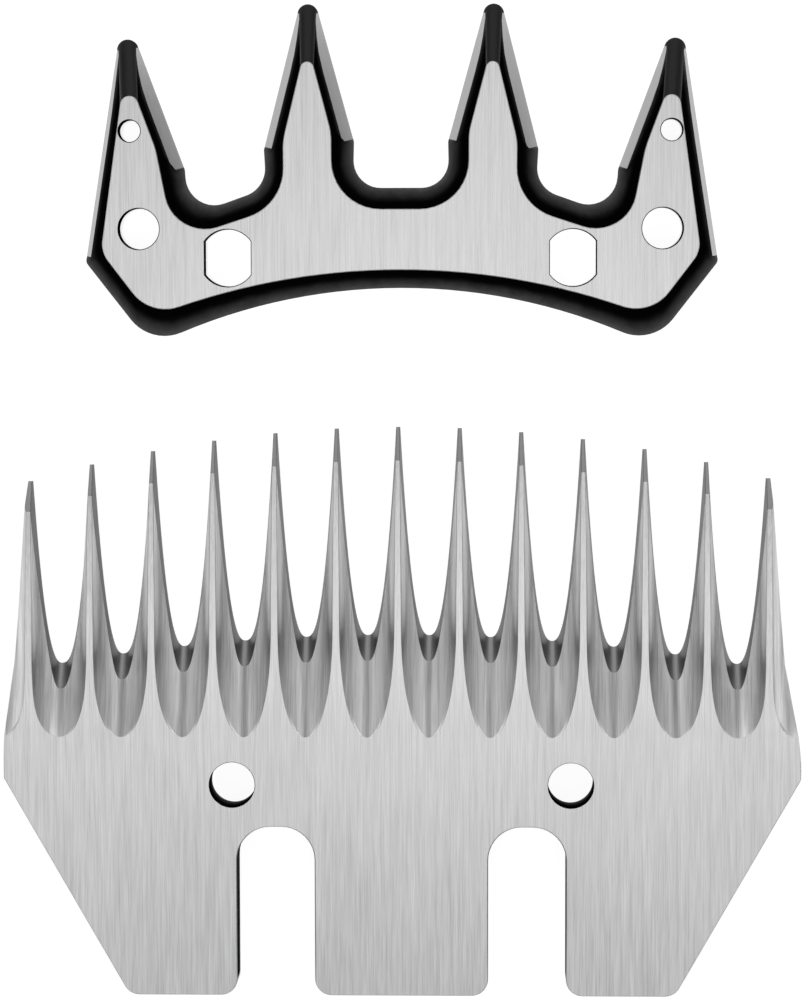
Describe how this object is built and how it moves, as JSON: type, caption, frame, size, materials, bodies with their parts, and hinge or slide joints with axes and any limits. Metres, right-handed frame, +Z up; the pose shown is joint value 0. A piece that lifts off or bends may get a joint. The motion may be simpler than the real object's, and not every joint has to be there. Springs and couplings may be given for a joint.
{
  "type": "sheep shearing comb and cutter",
  "caption": "Blade set of powered sheep shears: a fluted steel comb with slots for the handpiece's screws, and a black-flanked cutter with rounded gaps and fork holes.",
  "frame": {"origin": "on the surface that both blades lie on, under the middle of the pair's outline", "axes": "+X to the right, +Y towards the tips of the teeth, +Z up, away from the ground cutting faces"},
  "size_m": [0.0762, 0.0946, 0.004],
  "materials": {
    "comb_steel": "lengthwise brushed body, polished flutes and ground tooth tips",
    "cutter_steel": "lengthwise brushed fork side, glossy black flanks, bare ground tooth edges"
  },
  "bodies": {
    "comb": {"comb": "comb_steel"},
    "cutter": {"cutter": "cutter_steel"}
  },
  "joints": [
    {"name": "cutter_swing", "type": "hinge", "parent": "comb", "child": "cutter", "pos_m": [0, -0.0717, 0], "axis": [0, 0, 1], "range_deg": [-4.5, 4.5]}
  ]
}
